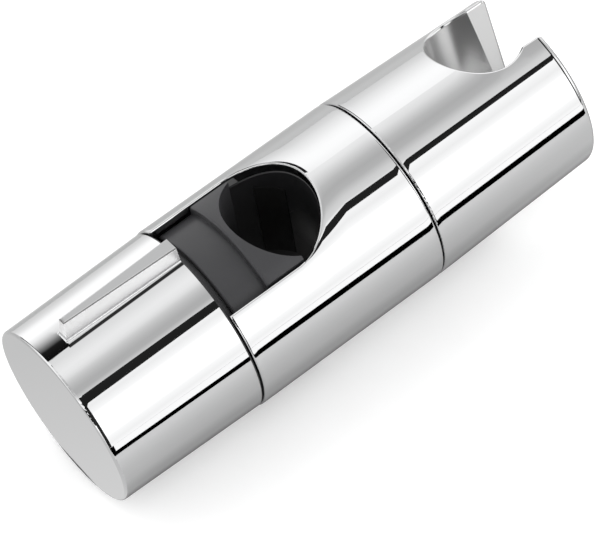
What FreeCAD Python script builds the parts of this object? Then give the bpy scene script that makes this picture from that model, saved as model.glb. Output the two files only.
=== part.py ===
import FreeCAD, Part
import math
import os

# Shower rail slider, in millimetres.
# The origin is the middle of the rail opening, on the cylinder's long axis.
# +X runs along the cylinder from the knob to the handset holder.
# +Z is the rail's direction. The piece stands as it does in use on a thin rail.

# Outside
body_diameter = 41.0
knob_end_step = 0.8
knob_rim_step = 0.2
holder_end_step = 1.05
knob_seam = 0.6
holder_seam = 0.3
holder_length = 39.8
shell_wall = 2.2
edge_round = 0.4
end_face_round = 0.6
holder_end_round = 1.0

# Rail opening and clamp block
rail_opening_diameter = 25.0
rail_to_knob_end = 4.0
clamp_travel = 7.0
block_tip_x = 2.0
block_side_gap = 0.5
block_step_width = 1.5
block_shoulder_inset = 1.6
tongue_step = 0.5
stem_side_gap = 0.25
stem_length = 7.5
stem_tube_radius = 9.5
stem_tube_length = 2.0
block_bore_radius = 5.4
block_bore_wall = 4.3
block_edge_round = 0.5

# Inner core of the body
core_gap = 0.1
channel_end_x = 1.9
web_thickness = 2.6
core_rim_chamfer = 0.4
head_recess_radius = 6.6
arm_step = 1.15
hook_height = 0.6
hook_length = 2.15
hook_gap = 0.15
bush_radius = 6.0
bush_length = 6.0
screw_clearance_radius = 2.85

# Grip pads in the rail seat
pad_angle = 43.0
pad_span = 29.0
pad_end_margin = 7.2
pad_depth = 1.2
pad_stand = 0.1
press_gap = 0.05
pad_corner_gap_angle = 0.3

# Ledge inside the shell and the screws that hold the core to it
ledge_thickness = 2.0
ledge_width = 6.3
core_screw_inset = 3.1
core_screw_radius = 1.3
core_screw_head_radius = 2.3
core_screw_head_height = 1.6
core_screw_depth = 5.5
core_screw_first_angle = 0.0

# Knob
knob_floor = 2.4
knob_mouth_step = 0.65
knob_ring_inset = 5.9
knob_ring_length = 4.0
running_gap = 0.07
hook_room = 0.3
knob_post_length = 6.1
knob_post_radius = 2.9
knob_post_inset = 4.8
knob_core_gap = 1.15
knob_core_thickness = 2.8
knob_boss_radius = 9.0
knob_boss_length = 3.7
knob_screw_radius = 1.4
knob_screw_head_radius = 2.4
knob_screw_head_height = 1.7
knob_screw_depth = 5.0
knob_screw_first_angle = 60.0
glide_ring_inner_gap = 0.15
glide_ring_outer_gap = 0.4
glide_ring_thickness = 0.4

# Lever rib on the knob
rib_angle = 7.2
rib_height = 3.5
rib_root_sink = 0.3
rib_top_half_width_left = 0.75
rib_top_half_width_right = 1.6
rib_root_half_width_left = 1.45
rib_root_half_width_right = 2.0
rib_top_inset = 6.6
rib_root_inset = 5.7
rib_edge_round = 0.25
rib_root_round = 0.6

# Spindle and nut
spindle_radius = 5.0
spindle_collar_radius = 7.5
spindle_collar_thickness = 1.2
spindle_root_radius = 6.0
spindle_end_room = 0.7
collar_room = 0.3
nut_radius = 7.5
nut_length = 12.0
nut_gap = 0.2
spindle_point = 0.8

# Handset holder
socket_from_end = 9.5
socket_turn = 16.6
socket_top_radius = 9.9
socket_slope = 0.05
socket_wall = 2.0
hose_slot_half_width = 8.9
holder_post_inset = 3.3
holder_post_radius = 3.3
holder_post_length = 10.0
holder_screw_first_angle = 30.0
socket_edge_round = 0.45

# Hub in the holder's open end
hub_spigot_length = 3.3
hub_spigot_gap = 0.4
hub_seat_length = 4.4
hub_seat_gap = 0.2
hub_boss_gap = 0.5
hub_tail_radius = 7.0
hub_tail_length = 3.5
hub_bearing_room = 0.5
hub_screw_radius = 1.3
hub_screw_head_radius = 2.4
hub_screw_head_height = 1.6
hub_screw_head_room = 0.3
hub_screw_recess_depth = 2.2
hub_screw_length = 11.0
insert_radius = 4.2
insert_wall = 1.0

# Pivot screw, its cap, washer and springs
cap_thickness = 1.2
cap_gap = 0.15
pivot_radius = 2.5
pivot_head_radius = 4.6
pivot_head_height = 2.5
pivot_end_gap = 0.5
hex_key_size = 3.0
hex_key_depth = 1.6
hex_sides = 6
pivot_washer_thickness = 0.8
pivot_washer_radius = 5.8
disc_spring_outer_radius = 5.9
disc_spring_inner_radius = 2.8
disc_spring_thickness = 0.45
disc_spring_rise = 0.15
thrust_washer_inner_radius = 6.3
thrust_washer_step = 0.2
thrust_washer_thickness = 0.6
friction_ring_offset = 3.1
friction_ring_section = 0.8
friction_groove_depth = 1.5

# Values that many pieces share
screw_count = 3
overshoot = 1.0
edge_tolerance = 0.02
screw_head_round_share = 0.45
cross_length_share = 1.2
cross_width_share = 0.26
cross_depth_share = 0.5

# Radii that follow from the values above
body_radius = body_diameter / 2
knob_end_radius = body_radius - knob_end_step
knob_rim_radius = body_radius - knob_rim_step
holder_end_radius = body_radius - holder_end_step
opening_radius = rail_opening_diameter / 2
shell_inner_radius = body_radius - shell_wall
core_radius = shell_inner_radius - core_gap
channel_half_width = opening_radius + core_gap
block_half_width = channel_half_width - block_side_gap
tongue_radius = body_radius - tongue_step
arm_radius = core_radius - arm_step
stem_radius = arm_radius - stem_side_gap
pad_height = 2 * (core_radius - pad_end_margin)
ledge_inner_radius = shell_inner_radius - ledge_width
core_screw_circle = shell_inner_radius - core_screw_inset
knob_ring_radius = arm_radius + running_gap
knob_bore_radius = arm_radius + hook_height + hook_room
knob_mouth_radius = knob_bore_radius + knob_mouth_step
knob_core_radius = knob_bore_radius - knob_core_gap
knob_post_circle = knob_core_radius - knob_post_inset
glide_ring_inner_radius = knob_mouth_radius + glide_ring_inner_gap
glide_ring_outer_radius = knob_rim_radius - glide_ring_outer_gap
rib_root_radius = knob_mouth_radius + rib_root_sink
rib_top_radius = body_radius + rib_height
hub_spigot_radius = shell_inner_radius - hub_spigot_gap
hub_seat_radius = shell_inner_radius - hub_seat_gap
hub_boss_radius = ledge_inner_radius - hub_boss_gap
hub_bearing_radius = bush_radius + running_gap
thrust_washer_outer_radius = hub_boss_radius - thrust_washer_step
holder_post_circle = shell_inner_radius - holder_post_inset
reach = 2 * body_radius

# Places along the axis, from the rail opening to the holder's end
pivot_head_x = opening_radius + cap_thickness + cap_gap
pivot_under_head_x = pivot_head_x + pivot_head_height
spring_start_x = pivot_under_head_x + pivot_washer_thickness
web_floor_x = spring_start_x + 2 * (disc_spring_thickness + disc_spring_rise) + press_gap
core_end_x = web_floor_x + web_thickness
bush_end_x = core_end_x + bush_length
friction_ring_x = core_end_x + friction_ring_offset
ledge_x = core_end_x + core_gap
core_screw_seat_x = ledge_x + ledge_thickness
hub_boss_x = core_end_x + thrust_washer_thickness + core_gap
hub_front_x = core_screw_seat_x + core_screw_head_height + hook_room
body_right_x = hub_front_x + hub_spigot_length
holder_left_x = body_right_x + holder_seam
holder_right_x = holder_left_x + holder_length
holder_wall_x = holder_right_x - shell_wall
socket_x = holder_right_x - socket_from_end
hub_back_x = holder_left_x + hub_seat_length
hub_tail_x = hub_back_x + hub_tail_length
hub_bearing_end_x = bush_end_x + hub_bearing_room
insert_start_x = hub_bearing_end_x + insert_wall
pivot_end_x = hub_tail_x - pivot_end_gap

# Places along the axis, from the rail opening to the knob's end
body_left_x = -opening_radius - rail_to_knob_end
knob_right_x = body_left_x - knob_seam
saddle_floor_x = clamp_travel - opening_radius
block_step_x = saddle_floor_x - block_step_width
block_shoulder_x = body_left_x + block_shoulder_inset
stem_end_x = body_left_x - stem_length
stem_tube_end_x = stem_end_x - stem_tube_length
nut_end_x = stem_tube_end_x + nut_length
block_bore_end_x = saddle_floor_x - block_bore_wall
spindle_tip_x = block_bore_end_x - clamp_travel - spindle_end_room
knob_ring_x = knob_right_x - knob_ring_inset
arm_end_x = knob_ring_x - knob_ring_length - hook_gap - hook_length
spindle_collar_x = stem_tube_end_x - clamp_travel - collar_room - spindle_collar_thickness
knob_core_face_x = spindle_collar_x - knob_boss_length
knob_core_x = knob_core_face_x - knob_core_thickness
knob_post_end_x = knob_core_x - core_gap
knob_floor_x = knob_post_end_x - knob_post_length
knob_left_x = knob_floor_x - knob_floor
knob_length = knob_right_x - knob_left_x
rib_left_top_x = knob_left_x + rib_top_inset
rib_left_root_x = knob_left_x + rib_root_inset

origin = FreeCAD.Vector(0, 0, 0)
along_x = FreeCAD.Vector(1, 0, 0)
along_z = FreeCAD.Vector(0, 0, 1)


def rod(start_x, end_x, radius):
    """A round bar along X."""
    return Part.makeCylinder(radius, end_x - start_x, FreeCAD.Vector(start_x, 0, 0), along_x)


def taper(start_x, end_x, start_radius, end_radius):
    """A tapered bar along X."""
    foot = FreeCAD.Vector(start_x, 0, 0)
    return Part.makeCone(start_radius, end_radius, end_x - start_x, foot, along_x)


def tube(start_x, end_x, outer_radius, inner_radius):
    """A round tube along X."""
    return rod(start_x, end_x, outer_radius).cut(rod(start_x, end_x, inner_radius))


def block(start, end):
    """A box between two corners."""
    size = [high - low for low, high in zip(start, end)]
    return Part.makeBox(size[0], size[1], size[2], FreeCAD.Vector(*start))


def slot_block(start_x, end_x, half_width):
    """A box along X, centred on the axis, that passes right through the body along Z."""
    return block((start_x, -half_width, -reach), (end_x, half_width, reach))


def upright(centre_x, radius):
    """A round bar along Z that passes right through the body."""
    return Part.makeCylinder(radius, 2 * reach, FreeCAD.Vector(centre_x, 0, -reach), along_z)


def around(shape, angle):
    """The shape turned about the long axis."""
    turned = shape.copy()
    turned.rotate(origin, along_x, angle)
    return turned


def offset_rod(start_x, end_x, radius, circle_radius, angle):
    """A round bar along X that stands on a circle about the long axis."""
    foot = FreeCAD.Vector(start_x, 0, circle_radius)
    return around(Part.makeCylinder(radius, end_x - start_x, foot, along_x), angle)


def screw_angles(first_angle):
    """The angles of a ring of screws."""
    return [first_angle + 360.0 * number / screw_count for number in range(screw_count)]


def edge_middle(edge):
    """The point halfway along an edge."""
    return edge.valueAt((edge.FirstParameter + edge.LastParameter) / 2)


def near_radius(point, radius):
    """Whether a point lies at a distance from the long axis."""
    return abs(math.hypot(point.y, point.z) - radius) < edge_tolerance


def edges_on_circle(shape, x, radius):
    """The round edges of a shape at one place along the axis."""
    found = []
    for edge in shape.Edges:
        points = [edge.valueAt(edge.FirstParameter), edge_middle(edge)]
        if all(abs(point.x - x) < edge_tolerance and near_radius(point, radius) for point in points):
            found.append(edge)
    return found


def ring_section(start_angle, end_angle, inner_radius, outer_radius, height):
    """An upright curved slab about the rail's own axis."""
    foot = FreeCAD.Vector(0, 0, -height / 2)
    outer = Part.makeCylinder(outer_radius, height, foot, along_z, end_angle - start_angle)
    inner = Part.makeCylinder(inner_radius, height, foot, along_z, end_angle - start_angle)
    slab = outer.cut(inner)
    slab.rotate(origin, along_z, start_angle)
    return slab


def pan_screw(under_head_x, direction, circle_radius, angle, sizes):
    """A pan head screw parallel to the long axis, with a cross recess in its head."""
    shank_radius, head_radius, head_height, length = sizes
    shank = Part.makeCylinder(shank_radius, length)
    head = Part.makeCylinder(head_radius, head_height, FreeCAD.Vector(0, 0, -head_height))
    top_edges = [edge for edge in head.Edges if edge.CenterOfMass.z < edge_tolerance - head_height]
    head = head.makeFillet(head_height * screw_head_round_share, top_edges)
    cross_length = head_radius * cross_length_share
    cross_width = head_radius * cross_width_share
    slot = Part.makeBox(cross_length, cross_width, head_height)
    cross_floor = head_height * (1 + cross_depth_share)
    slot.translate(FreeCAD.Vector(-cross_length / 2, -cross_width / 2, -cross_floor))
    crossed = slot.copy()
    crossed.rotate(origin, along_z, 90)
    screw = shank.fuse(head).cut(slot).cut(crossed)
    screw.rotate(origin, FreeCAD.Vector(0, 1, 0), 90 * direction)
    screw.translate(FreeCAD.Vector(under_head_x, 0, circle_radius))
    return around(screw, angle)


def screw_ring(under_head_x, direction, circle_radius, angles, sizes):
    """A ring of pan head screws."""
    return Part.makeCompound([
        pan_screw(under_head_x, direction, circle_radius, angle, sizes) for angle in angles])


# Body shell: a chrome tube with the rail opening through both sides and a screw ledge near its right end
rail_opening = upright(0, opening_radius).fuse(slot_block(body_left_x - reach, 0, opening_radius))
body_shell = rod(body_left_x, body_right_x, body_radius).cut(rail_opening)
rim_edges = []
for edge in body_shell.Edges:
    middle = edge_middle(edge)
    at_ends = not body_left_x + overshoot < middle.x < body_right_x - overshoot
    at_opening = abs(middle.y) < opening_radius + edge_tolerance
    if near_radius(middle, body_radius) and (at_opening or at_ends):
        rim_edges.append(edge)
body_shell = body_shell.makeFillet(edge_round, rim_edges)
body_shell = body_shell.cut(rod(body_left_x - overshoot, body_right_x + overshoot, shell_inner_radius))
ledge = tube(ledge_x, core_screw_seat_x, shell_inner_radius + core_gap, ledge_inner_radius)
body_shell = body_shell.fuse(ledge)
core_screw_angles = screw_angles(core_screw_first_angle)
for angle in core_screw_angles:
    hole = offset_rod(ledge_x - overshoot, core_screw_seat_x + overshoot, core_screw_radius + core_gap,
                      core_screw_circle, angle)
    body_shell = body_shell.cut(hole)
body_shell = body_shell.removeSplitter()

# Rail core: black moulding with the seat for the rail, walls that guide the block and two arms with hooks
rail_core = rod(body_left_x, core_end_x, core_radius)
rail_core = rail_core.cut(upright(0, opening_radius))
rail_core = rail_core.cut(slot_block(body_left_x - overshoot, channel_end_x, channel_half_width))
seat_rim = []
for edge in rail_core.Edges:
    middle = edge_middle(edge)
    at_seat = abs(math.hypot(middle.x, middle.y) - opening_radius) < edge_tolerance
    if at_seat and near_radius(middle, core_radius) and edge.Length > core_rim_chamfer:
        seat_rim.append(edge)
rail_core = rail_core.makeChamfer(core_rim_chamfer, seat_rim)
arms = rod(arm_end_x, body_left_x, arm_radius)
hook_radius = arm_radius + hook_height
hooks = rod(arm_end_x, arm_end_x + hook_length, hook_radius)
hooks = hooks.makeChamfer(hook_height, edges_on_circle(hooks, arm_end_x, hook_radius))
arms = arms.fuse(hooks)
arms = arms.cut(slot_block(arm_end_x - overshoot, body_left_x + overshoot, channel_half_width))
rail_core = rail_core.fuse(arms)
rail_core = rail_core.fuse(rod(core_end_x - overshoot, bush_end_x, bush_radius))
rail_core = rail_core.cut(rod(0, web_floor_x, head_recess_radius))
rail_core = rail_core.cut(rod(0, bush_end_x + overshoot, screw_clearance_radius))
groove_left_x = friction_ring_x - friction_ring_section
groove_right_x = friction_ring_x + friction_ring_section
groove_radius = bush_radius - friction_groove_depth
rail_core = rail_core.cut(tube(groove_left_x, groove_right_x, bush_radius + overshoot, groove_radius))
for angle in core_screw_angles:
    hole = offset_rod(core_end_x - core_screw_depth, core_end_x + overshoot, core_screw_radius,
                      core_screw_circle, angle)
    rail_core = rail_core.cut(hole)
pads = []
pad_pockets = []
for side in (-1, 1):
    start = side * pad_angle - pad_span / 2
    end = start + pad_span
    pads.append(ring_section(start, end, opening_radius - pad_stand,
                             opening_radius + pad_depth - press_gap, pad_height))
    pad_pockets.append(ring_section(start - pad_corner_gap_angle, end + pad_corner_gap_angle,
                                    opening_radius - overshoot, opening_radius + pad_depth,
                                    pad_height + 2 * press_gap))
for pocket in pad_pockets:
    rail_core = rail_core.cut(pocket)
rail_core = rail_core.removeSplitter()

# Grip pads: two rubber slabs let into the seat, one on each side of the pivot screw
rail_pads = Part.makeCompound(pads)

# Pivot cap: a plug in the screw's recess. Its face follows the rail seat, and the ends of the pads keep it in
pivot_cap = rod(0, pivot_head_x - cap_gap, head_recess_radius - press_gap)
pivot_cap = pivot_cap.cut(upright(0, opening_radius))
for pocket in pad_pockets:
    pivot_cap = pivot_cap.cut(pocket)

# Screws that hold the core to the shell's ledge
core_screw_sizes = (core_screw_radius - press_gap, core_screw_head_radius, core_screw_head_height,
                    ledge_thickness + core_screw_depth - core_gap)
core_screws = screw_ring(core_screw_seat_x, -1, core_screw_circle, core_screw_angles, core_screw_sizes)

# Knob shell: chrome cap with a lever rib outside, a retaining ring and three posts inside
knob_outer = taper(knob_left_x, knob_right_x, knob_end_radius, knob_rim_radius)
knob_outer = knob_outer.makeFillet(end_face_round, edges_on_circle(knob_outer, knob_left_x, knob_end_radius))


def rib_outline(left_x, left_half_width, right_half_width, radius):
    """The rib's outline at one height above the long axis."""
    corners = [(left_x, -left_half_width), (knob_right_x, -right_half_width),
               (knob_right_x, right_half_width), (left_x, left_half_width), (left_x, -left_half_width)]
    return Part.makePolygon([FreeCAD.Vector(x, y, radius) for x, y in corners])


rib_foot = rib_outline(rib_left_root_x, rib_root_half_width_left, rib_root_half_width_right, rib_root_radius)
rib_crown = rib_outline(rib_left_top_x, rib_top_half_width_left, rib_top_half_width_right, rib_top_radius)
rib = Part.makeLoft([rib_foot, rib_crown], True, True)
crown_edges = []
for edge in rib.Edges:
    at_top = edge.BoundBox.ZMin > rib_top_radius - edge_tolerance
    if at_top and edge.BoundBox.XMin < knob_right_x - edge_tolerance:
        crown_edges.append(edge)
rib = around(rib.makeFillet(rib_edge_round, crown_edges), -rib_angle)
knob_shell = knob_outer.fuse(rib)
knob_ring = tube(knob_ring_x - knob_ring_length, knob_ring_x, knob_bore_radius + overshoot, knob_ring_radius)
knob_cavity = rod(knob_floor_x, knob_right_x + overshoot, knob_bore_radius).cut(knob_ring)
knob_cavity = knob_cavity.fuse(rod(knob_ring_x, knob_right_x + overshoot, knob_mouth_radius))
knob_shell = knob_shell.cut(knob_cavity)
rib_side = 2 * rib_root_half_width_right + overshoot
rib_root = []
for edge in knob_shell.Edges:
    middle = edge_middle(edge)
    share = (middle.x - knob_left_x) / knob_length
    at_surface = near_radius(middle, knob_end_radius + (knob_rim_radius - knob_end_radius) * share)
    beside_rib = middle.z > 0 and edge_tolerance < middle.y < rib_side
    if at_surface and beside_rib and middle.x < knob_right_x - core_gap:
        rib_root.append(edge)
knob_shell = knob_shell.makeFillet(rib_root_round, rib_root)
knob_screw_angles = screw_angles(knob_screw_first_angle)
for angle in knob_screw_angles:
    post = offset_rod(knob_floor_x - knob_floor / 2, knob_post_end_x, knob_post_radius,
                      knob_post_circle, angle)
    hole = offset_rod(knob_post_end_x - knob_screw_depth, knob_post_end_x + overshoot, knob_screw_radius,
                      knob_post_circle, angle)
    knob_shell = knob_shell.fuse(post).cut(hole)
knob_shell = knob_shell.removeSplitter()

# Knob core: a disc on the three posts, with a boss that holds the spindle
knob_core = rod(knob_core_x, knob_core_face_x, knob_core_radius)
knob_core = knob_core.fuse(rod(knob_core_x, spindle_collar_x, knob_boss_radius))
knob_core = knob_core.cut(rod(knob_core_x - overshoot, spindle_collar_x + overshoot, spindle_root_radius))
for angle in knob_screw_angles:
    hole = offset_rod(knob_core_x - overshoot, knob_core_face_x + overshoot, knob_screw_radius + core_gap,
                      knob_post_circle, angle)
    knob_core = knob_core.cut(hole)
knob_core = knob_core.removeSplitter()

# Screws that hold the knob core to the posts
knob_screw_sizes = (knob_screw_radius - press_gap, knob_screw_head_radius, knob_screw_head_height,
                    knob_core_thickness + knob_screw_depth - core_gap)
knob_screws = screw_ring(knob_core_face_x, -1, knob_post_circle, knob_screw_angles, knob_screw_sizes)

# Glide ring: thin washer on the knob's rim, it runs against the body shell
glide_ring_end_x = knob_right_x + glide_ring_thickness
knob_glide_ring = tube(knob_right_x, glide_ring_end_x, glide_ring_outer_radius, glide_ring_inner_radius)

# Clamp spindle: brass, its collar rests on the knob core's boss
spindle_root = rod(knob_core_x + core_gap, spindle_collar_x, spindle_root_radius)
collar_end_x = spindle_collar_x + spindle_collar_thickness
spindle_collar = rod(spindle_collar_x, collar_end_x, spindle_collar_radius)
spindle_shank = rod(spindle_collar_x, spindle_tip_x, spindle_radius)
tip_edges = edges_on_circle(spindle_shank, spindle_tip_x, spindle_radius)
spindle_shank = spindle_shank.makeChamfer(spindle_point, tip_edges)
clamp_spindle = spindle_root.fuse(spindle_collar).fuse(spindle_shank).removeSplitter()

# Clamp block: saddle, tongue that lies flush with the chrome, shoulder and stem that slide into the knob
block_solid = rod(block_step_x, block_tip_x, tongue_radius)
block_solid = block_solid.fuse(rod(block_shoulder_x, block_step_x, core_radius))
block_solid = block_solid.fuse(rod(stem_end_x, block_shoulder_x, stem_radius))
step_edges = edges_on_circle(block_solid, block_shoulder_x, core_radius)
step_edges += edges_on_circle(block_solid, block_step_x, tongue_radius)
block_solid = block_solid.makeFillet(block_edge_round, step_edges)
block_room = slot_block(stem_end_x - overshoot, block_tip_x + overshoot, block_half_width)
block_solid = block_solid.common(block_room)
block_solid = block_solid.fuse(rod(stem_tube_end_x, stem_end_x + overshoot, stem_tube_radius))
block_solid = block_solid.cut(upright(saddle_floor_x + opening_radius, opening_radius))
block_solid = block_solid.cut(rod(stem_tube_end_x - overshoot, nut_end_x, nut_radius))
block_solid = block_solid.cut(rod(nut_end_x - overshoot, block_bore_end_x, block_bore_radius))
clamp_block = block_solid.removeSplitter()

# Clamp nut: brass insert in the block's stem
clamp_nut = tube(stem_tube_end_x, nut_end_x, nut_radius, spindle_radius + nut_gap)

# Handset holder: chrome moulding with a tapered socket and a slot for the hose
holder_outer = taper(holder_left_x, holder_right_x, body_radius, holder_end_radius)
holder_outer = holder_outer.makeFillet(
    holder_end_round, edges_on_circle(holder_outer, holder_right_x, holder_end_radius))
holder_outer = holder_outer.makeFillet(edge_round, edges_on_circle(holder_outer, holder_left_x, body_radius))
socket_low_radius = socket_top_radius + socket_slope * (body_radius + reach)
socket_high_radius = socket_top_radius - socket_slope * (reach - body_radius)


def socket_cone(extra):
    """The socket's tapered bar, turned to its place."""
    foot = FreeCAD.Vector(socket_x, 0, -reach)
    cone = Part.makeCone(socket_low_radius + extra, socket_high_radius + extra, 2 * reach, foot, along_z)
    return around(cone, -socket_turn)


def hose_slot(extra):
    """The hose slot's bar, turned to its place."""
    return around(slot_block(socket_x, holder_right_x + reach, hose_slot_half_width + extra), -socket_turn)


cavity_end_radius = holder_end_radius - shell_wall + holder_end_step * shell_wall / holder_length
holder_cavity = taper(holder_left_x, holder_wall_x, shell_inner_radius, cavity_end_radius)
holder_cavity = holder_cavity.cut(socket_cone(socket_wall)).cut(hose_slot(socket_wall))
hub_screw_angles = screw_angles(holder_screw_first_angle)
holder_post_end_x = hub_back_x + holder_post_length
for angle in hub_screw_angles:
    post = offset_rod(hub_back_x + core_gap, holder_post_end_x, holder_post_radius, holder_post_circle, angle)
    holder_cavity = holder_cavity.cut(post)
holder_shell = holder_outer.cut(socket_cone(0)).cut(hose_slot(0))
mouth_edges = []
for edge in holder_shell.Edges:
    middle = edge_middle(edge)
    share = (middle.x - holder_left_x) / holder_length
    at_surface = near_radius(middle, body_radius - holder_end_step * share)
    if at_surface and abs(middle.x - socket_x) < 2 * socket_top_radius:
        mouth_edges.append(edge)
holder_shell = holder_shell.makeFillet(socket_edge_round, mouth_edges)
holder_shell = holder_shell.cut(holder_cavity)
for angle in hub_screw_angles:
    hole = offset_rod(hub_back_x, holder_post_end_x - overshoot, hub_screw_radius, holder_post_circle, angle)
    holder_shell = holder_shell.cut(hole)
holder_shell = holder_shell.removeSplitter()

# Holder hub: plastic plug screwed into the holder, it turns on the core's bush
holder_hub = rod(hub_front_x, holder_left_x, hub_spigot_radius)
holder_hub = holder_hub.fuse(rod(holder_left_x, hub_back_x, hub_seat_radius))
holder_hub = holder_hub.fuse(rod(hub_boss_x, hub_front_x + overshoot, hub_boss_radius))
holder_hub = holder_hub.fuse(rod(hub_back_x - overshoot, hub_tail_x, hub_tail_radius))
holder_hub = holder_hub.cut(rod(hub_boss_x - overshoot, hub_bearing_end_x, hub_bearing_radius))
holder_hub = holder_hub.cut(rod(hub_boss_x, insert_start_x + overshoot, screw_clearance_radius))
holder_hub = holder_hub.cut(rod(insert_start_x, hub_tail_x + overshoot, insert_radius))
for angle in hub_screw_angles:
    recess = offset_rod(hub_front_x - overshoot, hub_front_x + hub_screw_recess_depth,
                        hub_screw_head_radius + hub_screw_head_room, holder_post_circle, angle)
    hole = offset_rod(hub_front_x, hub_back_x + overshoot, hub_screw_radius + core_gap,
                      holder_post_circle, angle)
    holder_hub = holder_hub.cut(recess).cut(hole)
holder_hub = holder_hub.removeSplitter()

# Hub insert: brass, for the pivot screw
hub_insert = tube(insert_start_x, hub_tail_x, insert_radius, pivot_radius)

# Screws that hold the hub to the holder
hub_screw_sizes = (hub_screw_radius - press_gap, hub_screw_head_radius, hub_screw_head_height,
                   hub_screw_length)
hub_screws = screw_ring(hub_front_x + hub_screw_recess_depth, 1, holder_post_circle, hub_screw_angles,
                        hub_screw_sizes)

# Pivot screw: socket head, driven from the rail opening before the cap goes in
pivot_screw = rod(pivot_head_x, pivot_under_head_x, pivot_head_radius)
head_edges = edges_on_circle(pivot_screw, pivot_head_x, pivot_head_radius)
pivot_screw = pivot_screw.makeFillet(edge_round, head_edges)
pivot_screw = pivot_screw.fuse(rod(pivot_under_head_x, pivot_end_x, pivot_radius))
hex_corner_radius = hex_key_size / math.sqrt(3)
hex_corners = []
for number in range(hex_sides + 1):
    corner = 2 * math.pi * number / hex_sides
    hex_corners.append(FreeCAD.Vector(pivot_head_x - overshoot, hex_corner_radius * math.cos(corner),
                                      hex_corner_radius * math.sin(corner)))
hex_face = Part.Face(Part.makePolygon(hex_corners))
hex_recess = hex_face.extrude(FreeCAD.Vector(hex_key_depth + overshoot, 0, 0))
pivot_screw = pivot_screw.cut(hex_recess).removeSplitter()

# Pivot washer and two disc springs between the head and the core's web
pivot_washer = tube(pivot_under_head_x, spring_start_x, pivot_washer_radius, disc_spring_inner_radius)


def disc_spring(inner_x, outer_x):
    """A conical spring disc about the long axis."""
    corners = [(inner_x, disc_spring_inner_radius), (outer_x, disc_spring_outer_radius),
               (outer_x + disc_spring_thickness, disc_spring_outer_radius),
               (inner_x + disc_spring_thickness, disc_spring_inner_radius),
               (inner_x, disc_spring_inner_radius)]
    outline = Part.makePolygon([FreeCAD.Vector(x, 0, radius) for x, radius in corners])
    return Part.Face(outline).revolve(origin, along_x, 360)


second_spring_x = spring_start_x + disc_spring_thickness + disc_spring_rise
disc_springs = Part.makeCompound([
    disc_spring(spring_start_x, spring_start_x + disc_spring_rise),
    disc_spring(second_spring_x + disc_spring_rise, second_spring_x)])

# Thrust washer between the core and the hub's boss
thrust_washer = tube(core_end_x, core_end_x + thrust_washer_thickness, thrust_washer_outer_radius,
                     thrust_washer_inner_radius)

# Friction ring in the bush's groove
friction_ring_radius = groove_radius + friction_ring_section
friction_ring = Part.makeTorus(friction_ring_radius, friction_ring_section - press_gap,
                               FreeCAD.Vector(friction_ring_x, 0, 0), along_x)

pieces = {
    "body_shell": body_shell,
    "rail_core": rail_core,
    "rail_pads": rail_pads,
    "pivot_cap": pivot_cap,
    "core_screws": core_screws,
    "friction_ring": friction_ring,
    "thrust_washer": thrust_washer,
    "knob_shell": knob_shell,
    "knob_core": knob_core,
    "knob_screws": knob_screws,
    "knob_glide_ring": knob_glide_ring,
    "clamp_spindle": clamp_spindle,
    "clamp_block": clamp_block,
    "clamp_nut": clamp_nut,
    "holder_shell": holder_shell,
    "holder_hub": holder_hub,
    "hub_insert": hub_insert,
    "hub_screws": hub_screws,
    "pivot_screw": pivot_screw,
    "pivot_washer": pivot_washer,
    "disc_springs": disc_springs,
}

os.makedirs("parts", exist_ok=True)
for name, shape in pieces.items():
    shape.exportStep(os.path.join("parts", name + ".step"))
    box = shape.BoundBox
    print(name, "solids", len(shape.Solids), "valid", shape.isValid(), "volume", round(shape.Volume, 1),
          "x", round(box.XMin, 2), round(box.XMax, 2), "y", round(box.YMin, 2), round(box.YMax, 2),
          "z", round(box.ZMin, 2), round(box.ZMax, 2))
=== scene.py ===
# %% [markdown]
# # A shower rail slider in chrome
#
# The object is a chrome cylinder that clamps to a shower rail. It has a knob with a lever rib, a body
# with the rail opening and a grey clamp block, and a holder for the handset. The solid model already has
# the true shapes, so this lesson is about finish and light: how to make plated plastic look plated, how
# to tell two dark plastics apart, and how to build a white studio that draws the long stripes a product
# photograph shows.

# %% Load the solid model
import math
from types import SimpleNamespace

import bpy
from mathutils import Matrix, Vector


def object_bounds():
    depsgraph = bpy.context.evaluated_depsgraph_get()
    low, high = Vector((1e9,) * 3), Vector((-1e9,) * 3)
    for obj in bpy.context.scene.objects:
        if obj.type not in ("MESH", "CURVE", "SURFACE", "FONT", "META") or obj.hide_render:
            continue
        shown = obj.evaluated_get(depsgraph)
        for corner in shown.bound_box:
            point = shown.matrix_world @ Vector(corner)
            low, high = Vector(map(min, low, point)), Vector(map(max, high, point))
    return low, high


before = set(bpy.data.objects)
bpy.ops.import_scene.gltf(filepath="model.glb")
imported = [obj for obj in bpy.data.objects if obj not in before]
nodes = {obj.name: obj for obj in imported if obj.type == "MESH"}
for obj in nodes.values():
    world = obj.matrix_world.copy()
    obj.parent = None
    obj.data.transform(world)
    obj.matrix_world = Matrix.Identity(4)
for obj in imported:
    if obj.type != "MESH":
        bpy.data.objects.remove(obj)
box_low, box_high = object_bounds()
size = box_high - box_low
print("nodes", len(nodes), "size in mm", [round(length * 1000, 1) for length in size])

# %% [markdown]
# ## The camera
#
# The photograph was taken from above and a little to the knob's side, with a long lens. A camera can be
# placed by eye, but the cylinder's outline, its seams and the rail opening fix it much better, so the
# place and the two directions below come from fitting those curves. The camera's turn has three
# directions as its columns: to the right, up, and backwards.

# %% Place the camera
camera_place = Vector((-0.17406, -0.31758, 0.53778))
camera_forward = Vector((0.27663, 0.48351, -0.83047))
camera_up = Vector((0.56253, 0.61918, 0.54788))

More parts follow.
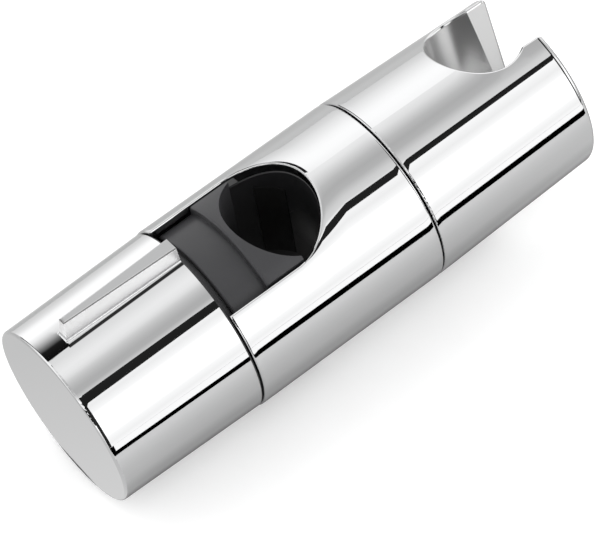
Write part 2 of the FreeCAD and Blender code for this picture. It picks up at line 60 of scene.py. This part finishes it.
camera_data = bpy.data.cameras.new("photo_camera")
camera_data.sensor_width = 36.0
camera_data.lens = 199.13
camera_data.clip_start = 0.05
camera_data.clip_end = 20.0
camera = bpy.data.objects.new("photo_camera", camera_data)
bpy.context.scene.collection.objects.link(camera)
camera_right = camera_forward.cross(camera_up).normalized()
upright = camera_right.cross(camera_forward)
turn = Matrix((camera_right, upright, -camera_forward)).transposed()
camera.matrix_world = Matrix.Translation(camera_place) @ turn.to_4x4()
bpy.context.scene.camera = camera
print("camera distance in m", round(camera_place.length, 3))

# %% [markdown]
# ## The light
#
# Chrome has no colour of its own. What we see on it is the studio, squeezed into stripes along the
# cylinder. One could set up a dozen area lights, but a long cylinder mirrors the surroundings by one
# angle only, the angle about its own axis. So one smooth ramp of brightness over that angle is simpler
# and exact: dim overhead, bright at the back and the front, with one black gap beside the lens. The
# numbers were read off the photograph's stripes. They are built with shader nodes, so a few helpers for
# nodes come first.

# %% Helpers for shader nodes
def add_node(tree, kind, **settings):
    """One shader node with its settings."""
    node = tree.nodes.new(kind)
    for name, value in settings.items():
        setattr(node, name, value)
    return node


def set_inputs(node, **values):
    """Sets a node's inputs by name, with _ for a space."""
    for name, value in values.items():
        node.inputs[name.replace("_", " ")].default_value = value


def feed(tree, socket, value):
    """Gives a socket a number or a colour, or else a link."""
    if isinstance(value, (int, float, tuple)):
        socket.default_value = value
    else:
        tree.links.new(value, socket)


def grey(level):
    """A grey as a colour."""
    return (level, level, level, 1.0)


def blend(tree, share, first, second):
    """Mixes two colours by the second one's share. Returns the mix."""
    node = add_node(tree, "ShaderNodeMix", data_type="RGBA")
    tree.links.new(share, node.inputs["Factor"])
    feed(tree, node.inputs["A"], first)
    feed(tree, node.inputs["B"], second)
    return node.outputs["Result"]


# %% Helpers for maths
def maths(tree, operation, *values):
    """Maths on links or numbers. More than two are taken from left to right. Returns the result."""
    node = add_node(tree, "ShaderNodeMath", operation=operation)
    for socket, value in zip(node.inputs, values[:2]):
        feed(tree, socket, value)
    result = node.outputs[0]
    for value in values[2:]:
        result = maths(tree, operation, result, value)
    return result


def sloping(tree, value, slope, start):
    """A level that grows evenly with a value, from its level at zero."""
    return maths(tree, "ADD", maths(tree, "MULTIPLY", value, slope), start)


def between(tree, value, low, high):
    """1 where a value lies between two others, and 0 elsewhere."""
    above_low = maths(tree, "GREATER_THAN", value, low)
    return maths(tree, "MULTIPLY", above_low, maths(tree, "LESS_THAN", value, high))


def distance(tree, first, second):
    """The length of a line from its two parts at a right angle."""
    first_square = maths(tree, "MULTIPLY", first, first)
    return maths(tree, "SQRT", maths(tree, "ADD", first_square, maths(tree, "MULTIPLY", second, second)))


def fade(tree, value, start, end, from_level, to_level):
    """A level that runs from one to another as a value goes from start to end, and stays level outside."""
    node = add_node(tree, "ShaderNodeMapRange")
    set_inputs(node, From_Min=start, From_Max=end)
    feed(tree, node.inputs["To Min"], from_level)
    feed(tree, node.inputs["To Max"], to_level)
    tree.links.new(value, node.inputs["Value"])
    return node.outputs["Result"]


def brightness_ramp(tree, value, stops):
    """A level that follows a list of stops. Each stop is a place and the level there."""
    low = stops[0][0]
    high = stops[-1][0]
    brightest = max(level for place, level in stops)
    ramp = add_node(tree, "ShaderNodeValToRGB")
    tree.links.new(fade(tree, value, low, high, 0.0, 1.0), ramp.inputs["Fac"])
    elements = ramp.color_ramp.elements
    for number, (place, level) in enumerate(stops):
        position = (place - low) / (high - low)
        stop = elements[number] if number < 2 else elements.new(position)
        stop.position = position
        stop.color = grey(level / brightest)
    return maths(tree, "MULTIPLY", ramp.outputs["Color"], brightest)


# %% Helpers for places
def split(tree, vector):
    """The X, Y and Z of a vector."""
    node = add_node(tree, "ShaderNodeSeparateXYZ")
    tree.links.new(vector, node.inputs[0])
    return node.outputs["X"], node.outputs["Y"], node.outputs["Z"]


def object_place(tree):
    """The place on a piece, in the piece's own coordinates."""
    return add_node(tree, "ShaderNodeTexCoord").outputs["Object"]


def degrees_about_x(tree, y, z):
    """The angle about the cylinder in degrees, 0 overhead and minus towards the front."""
    return maths(tree, "MULTIPLY", maths(tree, "ARCTAN2", y, z), 180 / math.pi)


def tilted(tree, y, z, tilt):
    """Y and Z along two directions tilted about the cylinder. Returns the place across and the place up."""
    across = maths(tree, "SUBTRACT", maths(tree, "MULTIPLY", y, math.cos(tilt)),
                   maths(tree, "MULTIPLY", z, math.sin(tilt)))
    up = maths(tree, "ADD", maths(tree, "MULTIPLY", y, math.sin(tilt)),
               maths(tree, "MULTIPLY", z, math.cos(tilt)))
    return across, up


# %% The studio's brightness over the angle
# Each stop is an angle about the cylinder in degrees, and the brightness there.
studio_stops = (
    (-180, 1.11), (-92, 1.80), (-86, 1.61), (-78, 1.78), (-72, 2.50), (-52, 2.50), (-46, 1.76), (-38, 1.56),
    (-24, 1.80), (-20, 1.22), (-14, 1.11), (-6, 0.82), (2, 0.76), (10, 0.89), (18, 1.16), (26, 1.44),
    (34, 1.69), (42, 1.79), (50, 1.80), (58, 1.72), (66, 1.57), (74, 1.42), (82, 1.24), (90, 1.11),
    (180, 1.11),
)

world = bpy.data.worlds.new("studio")
bpy.context.scene.world = world
world.use_nodes = True
tree = world.node_tree
tree.nodes.clear()
direction = add_node(tree, "ShaderNodeTexCoord")
x, y, z = split(tree, direction.outputs["Generated"])
angle = degrees_about_x(tree, y, z)
studio_light = brightness_ramp(tree, angle, studio_stops)
print("studio stops", len(studio_stops))

# %% The black gap beside the lens
# The gap's two edges lean a little, so the band on the chrome is wider at the knob than at the holder.
# Each edge has a slope and an angle in degrees: the angle changes with how far a mirrored ray points
# along the cylinder.
gap_low_edge = (33.0, -39.8)
gap_high_edge = (14.0, -25.9)
in_gap = between(tree, angle, sloping(tree, x, *gap_low_edge), sloping(tree, x, *gap_high_edge))
print("gap in degrees", gap_low_edge[1], "to", gap_high_edge[1])

# %% The black flags at the ends
# A flag is a black card that shortens a light. The chrome's edges are rounded, so they mirror the flags,
# which draws a black line along each. Only mirror rays see them. A flag covers the rays that point this
# far along the cylinder, from low to high, and at these angles in degrees.
flags = (
    (-0.60, 0.09, -106, -24),
    (-0.35, 0.09, 32, 95),
    (0.46, 0.63, -106, 22),
)
rays = add_node(tree, "ShaderNodeLightPath")
in_flags = 0.0
for low_x, high_x, low_angle, high_angle in flags:
    in_flag = maths(tree, "MULTIPLY", between(tree, x, low_x, high_x),
                    between(tree, angle, low_angle, high_angle))
    in_flags = maths(tree, "MAXIMUM", in_flags, in_flag)
in_flags = maths(tree, "MULTIPLY", in_flags, rays.outputs["Is Glossy Ray"])
print("flags", len(flags))

# %% Light the studio
# The camera itself sees a plain white background.
black_level = 0.015
black = maths(tree, "MAXIMUM", in_gap, in_flags)
lit = maths(tree, "SUBTRACT", 1.0, maths(tree, "MULTIPLY", black, 1.0 - black_level))
to_camera = rays.outputs["Is Camera Ray"]
to_others = maths(tree, "SUBTRACT", 1.0, to_camera)
strength = maths(tree, "ADD", maths(tree, "MULTIPLY", lit, studio_light, to_others), to_camera)
background = add_node(tree, "ShaderNodeBackground")
set_inputs(background, Color=grey(1.0))
tree.links.new(strength, background.inputs["Strength"])
world_output = add_node(tree, "ShaderNodeOutputWorld")
tree.links.new(background.outputs[0], world_output.inputs["Surface"])
bpy.context.scene.view_settings.view_transform = "Standard"
bpy.context.scene.view_settings.look = "None"
print("black level", black_level)

# %% [markdown]
# ## The floor and the line card
#
# The slider lies on white paper. The thin black line low on the cylinder is the dark slot between the
# paper's front edge and the white wall behind the lens. Here a flat card stands in for that slot: it is
# black below and white above. Only mirror rays see it, so it draws its line in the chrome and nothing
# else.

# %% Lay the floor
def flat_mesh(name, corners):
    """A mesh with one flat face."""
    mesh = bpy.data.meshes.new(name)
    mesh.from_pydata(corners, [], [tuple(range(len(corners)))])
    return mesh


def level_corners(low_x, high_x, low_y, high_y, z):
    """The corners of a level rectangle."""
    return [(low_x, low_y, z), (high_x, low_y, z), (high_x, high_y, z), (low_x, high_y, z)]


def place_piece(name, mesh):
    """Puts a mesh into the scene as an object."""
    piece = bpy.data.objects.new(name, mesh)
    bpy.context.scene.collection.objects.link(piece)
    return piece


floor_reach = 3.0
floor_corners = level_corners(-floor_reach, floor_reach, -floor_reach, floor_reach, box_low.z)
floor_mesh = flat_mesh("floor", floor_corners)
floor = place_piece("floor", floor_mesh)
print("floor at mm", round(box_low.z * 1000, 1))

# %% A helper for glowing cards
def stage_card(name, mesh):
    """A glowing card that only mirror rays see. Returns its tree, its glow's strength and its X, Y and Z."""
    card = place_piece(name, mesh)
    card.visible_camera = False
    card.visible_diffuse = False
    card.visible_shadow = False
    paint = bpy.data.materials.new(name + "_paint")
    paint.use_nodes = True
    mesh.materials.append(paint)
    tree = paint.node_tree
    tree.nodes.clear()
    glow = add_node(tree, "ShaderNodeEmission")
    set_inputs(glow, Color=grey(1.0))
    output = add_node(tree, "ShaderNodeOutputMaterial")
    tree.links.new(glow.outputs[0], output.inputs["Surface"])
    x, y, z = split(tree, object_place(tree))
    return SimpleNamespace(tree=tree, strength=glow.inputs["Strength"], x=x, y=y, z=z)


# %% Stand the line card up
# Seen from the cylinder's axis, the slot reaches from 9 degrees below the horizon up to between 2 and 4
# degrees below it, and is narrower before the knob. The white wall lies above it. The card stands nearer
# at the holder's end, and it is white only as far as the wall reaches.
card_left_x = -0.15
card_right_x = 0.25
card_y = -0.1325
card_lean = math.radians(7.4)
card_top_z = 0.008
outline = ((card_left_x, box_low.z), (card_right_x, box_low.z), (card_right_x, card_top_z),
           (card_left_x, card_top_z))
corners = [(x, card_y + x * math.tan(card_lean), z) for x, z in outline]
line_card = stage_card("line_card", flat_mesh("line_card", corners))
print("card height in mm", round((card_top_z - box_low.z) * 1000, 1))

# %% Paint the line card
# The wall starts at one height before the knob and at another before the body.
wall_left_x = -0.0315
wall_right_x = 0.121
wall_brightness = 1.75
knob_split_z = -0.0090
body_split_z = -0.0057
split_fade_x = (0.002, 0.022)
tree = line_card.tree
split_z = fade(tree, line_card.x, *split_fade_x, knob_split_z, body_split_z)
on_wall = maths(tree, "MULTIPLY", maths(tree, "GREATER_THAN", line_card.z, split_z),
                between(tree, line_card.x, wall_left_x, wall_right_x))
feed(tree, line_card.strength, maths(tree, "MULTIPLY", on_wall, wall_brightness))
print("wall from mm", wall_left_x * 1000, "to", wall_right_x * 1000)

# %% [markdown]
# ## The card over the knob
#
# On the knob the stripes differ. Its far side is whiter than the rest of the cylinder, the flat top of
# the rib is grey where the round chrome beside it is white, and left of the rib lies a black patch. The
# light can't do that, because it is the same for the whole cylinder, but a card close to the knob can. It
# is bent about the long axis. Its front part is bright in the middle, then comes grey for the rib's top,
# black to the left of the rib, and white behind.

# %% Bend the card over the knob
knob_card_radius = 0.05
knob_card_low = -25
knob_card_high = 92
knob_card_left_x = -0.053
knob_card_right_x = -0.0076
knob_card_steps = 40
points = []
for step in range(knob_card_steps + 1):
    bend = math.radians(knob_card_high - (knob_card_high - knob_card_low) * step / knob_card_steps)
    for edge_x in (knob_card_left_x, knob_card_right_x):
        points.append((edge_x, knob_card_radius * math.sin(bend), knob_card_radius * math.cos(bend)))
faces = [(2 * step, 2 * step + 1, 2 * step + 3, 2 * step + 2) for step in range(knob_card_steps)]
knob_card_mesh = bpy.data.meshes.new("knob_card")
knob_card_mesh.from_pydata(points, [], faces)
knob_card = stage_card("knob_card", knob_card_mesh)
print("card over the knob, degrees", knob_card_low, "to", knob_card_high)

# %% Paint the card over the knob
# Each stop is an angle about the cylinder in degrees, and the brightness there. The last stop lies past
# the card.
front_stops = ((-25, 1.10), (-21, 0.78), (-17.4, 0.77), (-14.2, 0.85), (-11, 0.96), (-7.8, 1.11),
               (-4.6, 1.34), (-1.4, 1.47), (3.4, 1.52), (8.3, 1.44), (14.8, 1.30), (16.9, 1.28))
behind_stops = ((48, 1.50), (55, 1.85), (62, 1.90), (70, 1.70), (76, 1.38), (84, 1.12), (92, 0.97),
                (180, 0.97))
rib_stops = front_stops + ((21.0, 0.92), (34, 0.92), (40, 1.40)) + behind_stops
left_stops = front_stops + ((17.2, 0.0), (30, 0.02), (35, 0.35), (41, 0.88)) + behind_stops
rib_fade_x = (-0.038, -0.036)
tree = knob_card.tree
around = degrees_about_x(tree, knob_card.y, knob_card.z)
over_rib = brightness_ramp(tree, around, rib_stops)
over_left = brightness_ramp(tree, around, left_stops)
rib_share = fade(tree, knob_card.x, *rib_fade_x, 0.0, 1.0)
left_share = maths(tree, "SUBTRACT", 1.0, rib_share)
feed(tree, knob_card.strength, maths(tree, "ADD", maths(tree, "MULTIPLY", over_rib, rib_share),
                                     maths(tree, "MULTIPLY", over_left, left_share)))
print("stops over the rib", len(rib_stops), "and left of it", len(left_stops))

# %% [markdown]
# ## The card before the knob's end
#
# The flat end face mirrors one small patch of the studio only. In the photograph it is an even light
# grey, a little lighter below, which means a white card stood or lay there. Here it lies on the floor.

# %% Lay the end card
end_card_length = 0.2
end_card_low_y = -0.1
end_card_high_y = 0.2
end_card_right_x = box_low.x - 0.0005
end_card_z = box_low.z + 0.0003
end_fade_y = (-0.015, 0.03)
end_front_brightness = 0.91
end_back_brightness = 0.77
end_card = stage_card("end_card", flat_mesh("end_card", level_corners(
    end_card_right_x - end_card_length, end_card_right_x, end_card_low_y, end_card_high_y, end_card_z)))
feed(end_card.tree, end_card.strength, fade(end_card.tree, end_card.y, *end_fade_y, end_front_brightness,
                                            end_back_brightness))
print("end card starts at mm", round(end_card_right_x * 1000, 1))

# %% [markdown]
# ## Effects that several finishes share
#
# No real surface is perfectly even. Its gloss drifts from handling, mouldings have a fine grain, turned
# metal has rings, and a buffed surface rolls down towards its edges. Each of these four is one shader
# group with named inputs, so every finish can use it with its own values. They work in object
# coordinates, because those stay fixed to the piece when it moves.

# %% Helpers for shader groups and clouds
def start_group(name, inputs, output):
    """A shader group with number inputs and one output. Returns the tree, its inputs and its output."""
    group = bpy.data.node_groups.new(name, "ShaderNodeTree")
    for socket, value in inputs:
        made = group.interface.new_socket(socket, in_out="INPUT", socket_type="NodeSocketFloat")
        made.default_value = value
    group.interface.new_socket(output, in_out="OUTPUT", socket_type="NodeSocketFloat")
    return group, add_node(group, "NodeGroupInput").outputs, add_node(group, "NodeGroupOutput").inputs[output]


def use_group(tree, group, **values):
    """Places a shader group with its own values. Returns its output."""
    node = add_node(tree, "ShaderNodeGroup", node_tree=group)
    set_inputs(node, **values)
    return node.outputs[0]


def clouds(tree, scale, detail, roughness=0.5):
    """Cloudy noise between 0 and 1 that is fixed to the piece."""
    node = add_node(tree, "ShaderNodeTexNoise")
    set_inputs(node, Detail=detail, Roughness=roughness)
    feed(tree, node.inputs["Scale"], scale)
    tree.links.new(object_place(tree), node.inputs["Vector"])
    return node.outputs["Fac"]


# %% Make the groups for gloss and grain
cloud_low = 0.35
cloud_high = 0.65
drift, given, result = start_group(
    "uneven_gloss", (("Scale", 60.0), ("Low", 0.03), ("High", 0.08)), "Roughness")
cloud = clouds(drift, given["Scale"], detail=5.0, roughness=0.6)
drift.links.new(fade(drift, cloud, cloud_low, cloud_high, given["Low"], given["High"]), result)

grain, given, result = start_group("fine_grain", (("Scale", 2500.0),), "Height")
grain.links.new(clouds(grain, given["Scale"], detail=3.0, roughness=0.7), result)
print("cloud range", cloud_low, "to", cloud_high)

# %% Make the groups for turned and rolled surfaces
lathe, given, result = start_group("lathe_lines", (("Lines per metre", 9000.0),), "Height")
x, y, z = split(lathe, object_place(lathe))
along_and_out = maths(lathe, "ADD", x, distance(lathe, y, z))
rings = maths(lathe, "MULTIPLY", along_and_out, given["Lines per metre"])
lathe.links.new(maths(lathe, "SINE", rings), result)

rolled, given, result = start_group(
    "rolled_edge", (("Distance", 0.0), ("Width", 0.001), ("Depth", 0.0001)), "Height")
inside = maths(rolled, "MAXIMUM", given["Distance"], 0.0)
nearness = maths(rolled, "SUBTRACT", 1.0, maths(rolled, "DIVIDE", inside, given["Width"]))
nearness = maths(rolled, "MAXIMUM", nearness, 0.0)
rolled.links.new(maths(rolled, "MULTIPLY", nearness, nearness, given["Depth"], -1.0), result)
print("groups", sorted(group.name for group in bpy.data.node_groups))


# %% Helpers for finishes
def new_material(name):
    """A new material with its tree and its Principled shader."""
    material = bpy.data.materials.new(name)
    material.use_nodes = True
    tree = material.node_tree
    return SimpleNamespace(material=material, tree=tree, shader=tree.nodes["Principled BSDF"])


def start_finish(name, tones, tone_scale, tone_detail, gloss_scale, gloss_range, metallic=0.0):
    """A material whose colour drifts between two tones and whose gloss drifts too. Returns its parts."""
    made = new_material(name)
    set_inputs(made.shader, Metallic=metallic)
    made.tint = blend(made.tree, clouds(made.tree, tone_scale, tone_detail), *tones)
    made.gloss = use_group(made.tree, drift, Scale=gloss_scale, Low=gloss_range[0], High=gloss_range[1])
    return made


def end_finish(made, strength, depth):
    """Links a material's colour, gloss and height to its shader."""
    made.tree.links.new(made.tint, made.shader.inputs["Base Color"])
    made.tree.links.new(made.gloss, made.shader.inputs["Roughness"])
    bump = add_node(made.tree, "ShaderNodeBump")
    set_inputs(bump, Strength=strength, Distance=depth)
    made.tree.links.new(made.height, bump.inputs["Height"])
    made.tree.links.new(bump.outputs["Normal"], made.shader.inputs["Normal"])


def mix_tint(made, share, colour):
    """Mixes a colour into a material's tint by a share."""
    made.tint = blend(made.tree, share, made.tint, colour)


def dress(material, *names):
    """Gives CAD pieces a finish."""
    for name in names:
        for slot in nodes[name].material_slots:
            slot.material = material
    print(material.name, "on", ", ".join(names))


# %% [markdown]
# ## Chrome
#
# The three outer shells are plastic with a bright chrome plating. Real chrome throws back less than six
# tenths of the light, with no tint to speak of, so its base colour is a middle grey and not white. The
# plating follows the moulding under it, whose faint waviness makes long reflections waver a little, so a
# very shallow bump goes over the whole surface. Before plating, mouldings are buffed, and buffing rolls a
# surface down towards its edges. A stripe bends and a white area gets round corners where it comes near
# an edge, and that is what the eye takes for polished metal. So each shell's height also falls towards
# its ends.

# %% Start a shell's chrome
end_roll_width = 0.0015
end_roll_depth = 0.00009
waviness_depth = 0.000003
chrome_tones = ((0.535, 0.538, 0.542, 1.0), (0.553, 0.554, 0.556, 1.0))


def roll(tree, from_edge, width, depth):
    """The height that a rolled edge takes away, from the distance to that edge."""
    node = add_node(tree, "ShaderNodeGroup", node_tree=rolled)
    set_inputs(node, Width=width, Depth=depth)
    tree.links.new(from_edge, node.inputs["Distance"])
    return node.outputs["Height"]


def start_chrome(name, piece, right_depth=end_roll_depth):
    """Chrome for one shell, wavy and rolled at its ends. Returns its parts."""
    made = start_finish(name, chrome_tones, tone_scale=25.0, tone_detail=3.0, gloss_scale=45.0,
                        gloss_range=(0.012, 0.035), metallic=1.0)
    tree = made.tree
    made.x, made.y, made.z = split(tree, object_place(tree))
    waviness = maths(tree, "MULTIPLY", clouds(tree, scale=90.0, detail=1.0), waviness_depth)
    left_x = min(corner[0] for corner in nodes[piece].bound_box)
    right_x = max(corner[0] for corner in nodes[piece].bound_box)
    from_left = maths(tree, "SUBTRACT", made.x, left_x)
    from_right = maths(tree, "SUBTRACT", right_x, made.x)
    made.height = maths(tree, "ADD", waviness, roll(tree, from_left, end_roll_width, end_roll_depth),
                        roll(tree, from_right, end_roll_width, right_depth))
    return made


def end_chrome(made, piece):
    """Finishes a shell's chrome and dresses the shell."""
    end_finish(made, strength=1.0, depth=1.0)
    dress(made.material, piece)


# %% [markdown]
# ## The knob's chrome
#
# A black line runs along the foot of the rib, on the near side. It is painted shade: a dark colour laid
# into the corner where shade falls. The rib's sides are rough satin, and their colour is raised to near
# white as painted light, so they mirror nothing and show one even light grey. The rib's sharp upper edges
# get thin dark lines painted into the colour as painted reflections. All three are placed by measures
# across the rib's own direction, a few degrees from upright, up along it, and out from the knob's skin.
# The skin is a slight cone. The knob's inner end stays sharp, so it gets no roll there.

# %% Measure the place on the knob
rib_turn = math.radians(7.2)
skin_radius_middle = 0.020575
skin_slope = 0.01765
knob_chrome = start_chrome("chrome_plating_knob", "knob_shell", right_depth=0.0)
tree = knob_chrome.tree
across_rib, up_rib = tilted(tree, knob_chrome.y, knob_chrome.z, rib_turn)
skin_radius = sloping(tree, knob_chrome.x, skin_slope, skin_radius_middle)
above_skin = maths(tree, "SUBTRACT", distance(tree, across_rib, up_rib), skin_radius)
print("rib turned by degrees", round(math.degrees(rib_turn), 1))

# %% Make the rib's sides satin, paint light on them and paint dark lines on its edges
rib_top_height = 0.024
rib_edge_width = 0.00024
rib_edge_margin = 0.00002
side_starts = (0.0001, 0.0003)
side_roughness = 0.4
side_painted_light_grey = 0.98
edge_painted_reflection_grey = 0.15
bright_starts = (0.0004, 0.0008)
rib_edge_low = rib_top_height - rib_edge_width
on_side = maths(tree, "MULTIPLY", fade(tree, above_skin, *side_starts, 0.0, 1.0),
                maths(tree, "LESS_THAN", up_rib, rib_edge_low))
knob_chrome.gloss = maths(tree, "ADD", knob_chrome.gloss, maths(tree, "MULTIPLY", on_side, side_roughness))
# Painted light: the sides' colour is mixed towards near white so they show an even light grey.
painted_light_above_foot = maths(tree, "MULTIPLY", on_side, fade(tree, above_skin, *bright_starts, 0.0, 1.0))
mix_tint(knob_chrome, painted_light_above_foot, grey(side_painted_light_grey))
# Painted reflection: a thin dark line is mixed into the colour along the rib's upper edges.
painted_reflection_on_edge = between(tree, up_rib, rib_edge_low, rib_top_height - rib_edge_margin)
mix_tint(knob_chrome, painted_reflection_on_edge, grey(edge_painted_reflection_grey))
print("rib's edge line in mm", rib_edge_width * 1000)

# %% Paint shade at the rib's foot and dress the knob
rib_left_x = -0.0442
foot_offset = 0.00250
foot_core = 0.00030
foot_reach = 0.00045
foot_height = 0.0002
foot_painted_shade_grey = 0.02
off_line = maths(tree, "ABSOLUTE", maths(tree, "ADD", across_rib, foot_offset))
corner_line = fade(tree, off_line, foot_core, foot_reach, 1.0, 0.0)
# Painted shade: a dark line is mixed into the colour along the corner at the rib's foot.
painted_shade_at_foot = maths(tree, "MULTIPLY", corner_line, maths(tree, "GREATER_THAN", knob_chrome.x, rib_left_x),
                maths(tree, "GREATER_THAN", up_rib, 0.0), maths(tree, "LESS_THAN", above_skin, foot_height))
mix_tint(knob_chrome, painted_shade_at_foot, grey(foot_painted_shade_grey))
end_chrome(knob_chrome, "knob_shell")

# %% [markdown]
# ## The body's chrome
#
# Round the rail opening the roll is stronger: the black stripe on the body bends and thins as it nears
# the opening, and then runs along the rim. The fall is a few tenths of a millimetre over five, far too
# little to model as a shape of its own. The opening is a slot with a round end, so the distance to its
# rim is simple: across the slot on the knob's side of its centre, and from the centre on the other side.

# %% Make the body's chrome
# Each roll has a width and a depth.
opening_radius = 0.0125
opening_rolls = ((0.005, 0.0003), (0.0012, 0.0001))
body_chrome = start_chrome("chrome_plating_body", "body_shell")
tree = body_chrome.tree
past_centre = maths(tree, "MAXIMUM", body_chrome.x, 0.0)
from_rim = maths(tree, "SUBTRACT", distance(tree, past_centre, body_chrome.y), opening_radius)
for width, depth in opening_rolls:
    body_chrome.height = maths(tree, "ADD", body_chrome.height, roll(tree, from_rim, width, depth))
end_chrome(body_chrome, "body_shell")

# %% [markdown]
# ## The holder's chrome
#
# A wheel doesn't reach into the socket either. Its wall keeps the moulding's fine texture under the
# plating, so it is satin and looks softer than the outside. Its colour is also raised to a lighter grey as
# painted light, so it looks lighter too. The socket is a cone about a slanted axis with a slot beside it.
# Whether a point lies on its wall follows from its distance to that axis.

# %% Find the socket's wall
socket_x = 0.0589
socket_turn = math.radians(16.6)
socket_slope = 0.05
socket_mouth_radius = 0.0099
socket_mouth_height = 0.0205
slot_half_width = 0.0089
wall_margin = 0.00005
holder_chrome = start_chrome("chrome_plating_holder", "holder_shell")
tree = holder_chrome.tree
across, up_axis = tilted(tree, holder_chrome.y, holder_chrome.z, socket_turn)
along = maths(tree, "SUBTRACT", holder_chrome.x, socket_x)
below_mouth = maths(tree, "SUBTRACT", socket_mouth_height, up_axis)
wall_radius = sloping(tree, below_mouth, socket_slope, socket_mouth_radius + wall_margin)
in_socket = maths(tree, "LESS_THAN", distance(tree, along, across), wall_radius)
in_slot = maths(tree, "MULTIPLY", maths(tree, "GREATER_THAN", along, 0.0),
                maths(tree, "LESS_THAN", maths(tree, "ABSOLUTE", across), slot_half_width + wall_margin))
print("socket tilted by degrees", round(math.degrees(socket_turn), 1))

# %% Make the holder's chrome
satin_roughness = 0.2
satin_painted_light_grey = 0.71
# Painted light: the socket's and slot's wall is mixed towards a lighter grey than the chrome outside.
satin_and_painted_light = maths(tree, "MAXIMUM", in_socket, in_slot)
mix_tint(holder_chrome, satin_and_painted_light, grey(satin_painted_light_grey))
holder_chrome.gloss = maths(tree, "ADD", holder_chrome.gloss, maths(tree, "MULTIPLY", satin_and_painted_light, satin_roughness))
end_chrome(holder_chrome, "holder_shell")

# %% [markdown]
# ## The dark plastics
#
# The clamp block is dark grey with a satin face that shows a soft highlight. The core behind it is black
# and shows almost nothing. Both are moulded, with a grain much finer than a millimetre. Two materials
# that share the same groups keep them related, and different values of colour and gloss keep them apart.
# The block's face throws back only half of what smooth plastic would, because its grain is open.

# %% Make the moulded plastics
def moulded(name, tones, gloss_range, grain_scale, grain_depth):
    """A moulded plastic with its own gloss and grain."""
    made = start_finish(name, tones, tone_scale=120.0, tone_detail=4.0, gloss_scale=80.0,
                        gloss_range=gloss_range)
    made.height = use_group(made.tree, grain, Scale=grain_scale)
    end_finish(made, strength=0.4, depth=grain_depth)
    return made


grey_plastic = moulded("grey_moulding", ((0.038, 0.038, 0.040, 1.0), (0.046, 0.046, 0.049, 1.0)),
                       gloss_range=(0.30, 0.40), grain_scale=2600.0, grain_depth=0.00001)
set_inputs(grey_plastic.shader, Specular_IOR_Level=0.25)
black_plastic = moulded("black_moulding", ((0.010, 0.010, 0.011, 1.0), (0.014, 0.014, 0.015, 1.0)),
                        gloss_range=(0.3, 0.42), grain_scale=2200.0, grain_depth=0.00001)
pad_rubber = moulded("grip_rubber", (grey(0.003), grey(0.005)),
                     gloss_range=(0.6, 0.75), grain_scale=1500.0, grain_depth=0.00004)
white_plastic = moulded("white_washer", ((0.70, 0.70, 0.68, 1.0), (0.78, 0.78, 0.76, 1.0)),
                        gloss_range=(0.35, 0.5), grain_scale=2000.0, grain_depth=0.00001)
dress(grey_plastic.material, "clamp_block")
dress(black_plastic.material, "rail_core", "pivot_cap", "knob_core", "holder_hub", "knob_glide_ring")
dress(pad_rubber.material, "rail_pads", "friction_ring")
dress(white_plastic.material, "thrust_washer")

# %% [markdown]
# ## The turned metals
#
# The spindle, the nut and the insert are turned brass, and the screws, washer and springs are bright
# steel. They are hidden inside, but a model that is taken apart needs them too. A lathe leaves fine rings
# about the axis, so the height here follows the distance along and from the axis instead of plain noise.

# %% Make the metals
def turned(name, tones, gloss_range):
    """A turned metal with fine rings."""
    made = start_finish(name, tones, tone_scale=150.0, tone_detail=4.0, gloss_scale=200.0,
                        gloss_range=gloss_range, metallic=1.0)
    made.height = use_group(made.tree, lathe, Lines_per_metre=9000.0)
    end_finish(made, strength=0.3, depth=0.000005)
    return made.material


brass = turned("turned_brass", ((0.62, 0.44, 0.19, 1.0), (0.74, 0.55, 0.27, 1.0)), (0.22, 0.34))
steel = turned("bright_steel", ((0.50, 0.50, 0.51, 1.0), (0.62, 0.62, 0.63, 1.0)), (0.2, 0.32))
dress(brass, "clamp_spindle", "clamp_nut", "hub_insert")
dress(steel, "core_screws", "knob_screws", "hub_screws", "pivot_screw", "pivot_washer", "disc_springs")

# %% [markdown]
# ## The paper floor
#
# White paper, with a tone that hardly changes. The camera sees it bleached to white, with a faint glow on
# top of the light that falls on it. Mirror rays see it greyer, with painted shade that is darkest right
# beside the cylinder.

# %% Make the paper
camera_glow = 0.17
paper = new_material("white_paper")
tree = paper.tree
shader = paper.shader
set_inputs(shader, Roughness=0.9, Specular_IOR_Level=0.2, Emission_Color=grey(1.0))
plain = blend(tree, clouds(tree, scale=300.0, detail=3.0), grey(0.90), grey(0.93))
rays = add_node(tree, "ShaderNodeLightPath")
glow = maths(tree, "MULTIPLY", rays.outputs["Is Camera Ray"], camera_glow)
tree.links.new(glow, shader.inputs["Emission Strength"])
floor_mesh.materials.append(paper.material)
print("glow towards the camera", camera_glow)

# %% Let the chrome see a greyer paper with painted shade
# Each stop is a place in metres across the cylinder, front to back, and the paper's brightness there.
paper_shade_stops = (
    (-0.2, 0.91), (-0.094, 0.91), (-0.068, 0.84), (-0.050, 0.80), (-0.032, 0.80), (-0.028, 0.73),
    (-0.024, 0.66), (-0.020, 0.63), (-0.017, 0.46), (-0.014, 0.28), (0.0, 0.22), (0.030, 0.55),
    (0.039, 0.72), (0.046, 0.72), (0.056, 0.60), (0.094, 0.645), (0.141, 0.715), (0.2, 0.74),
)
x, y, z = split(tree, object_place(tree))
shade = brightness_ramp(tree, y, paper_shade_stops)
# Painted shade: mirror rays see the paper darkened by these stops, darkest right beside the cylinder.
painted_shade_share = maths(tree, "MULTIPLY", rays.outputs["Is Glossy Ray"], maths(tree, "SUBTRACT", 1.0, shade))
tree.links.new(blend(tree, painted_shade_share, plain, grey(0.0)), shader.inputs["Base Color"])
print("paper stops", len(paper_shade_stops))
